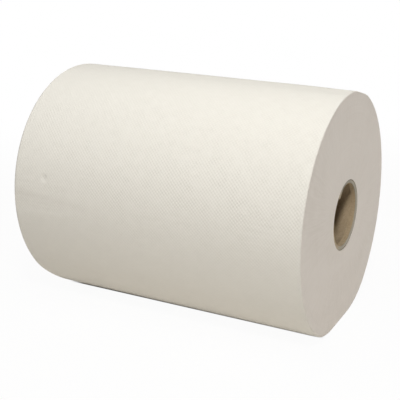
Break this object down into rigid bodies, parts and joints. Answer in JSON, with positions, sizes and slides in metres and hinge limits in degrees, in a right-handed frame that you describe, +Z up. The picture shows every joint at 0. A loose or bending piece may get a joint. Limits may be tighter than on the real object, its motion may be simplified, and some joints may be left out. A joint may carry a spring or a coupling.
{
  "type": "paper towel roll",
  "caption": "Wide hard-wound roll of plain off-white paper towel on a cardboard core, lying on its side with the spot it rests on pressed flat.",
  "frame": {"origin": "on the floor, under the middle of the roll's pressed flat", "axes": "+X along the roll's axis to its front end, +Z up, +Y to the back"},
  "size_m": [0.254, 0.2, 0.1955],
  "materials": {
    "towel_paper": "soft matte, lightly embossed",
    "core_card": "matte grey-brown board"
  },
  "bodies": {
    "root": {"wound_paper": "towel_paper", "cardboard_core": "core_card"}
  },
  "joints": []
}
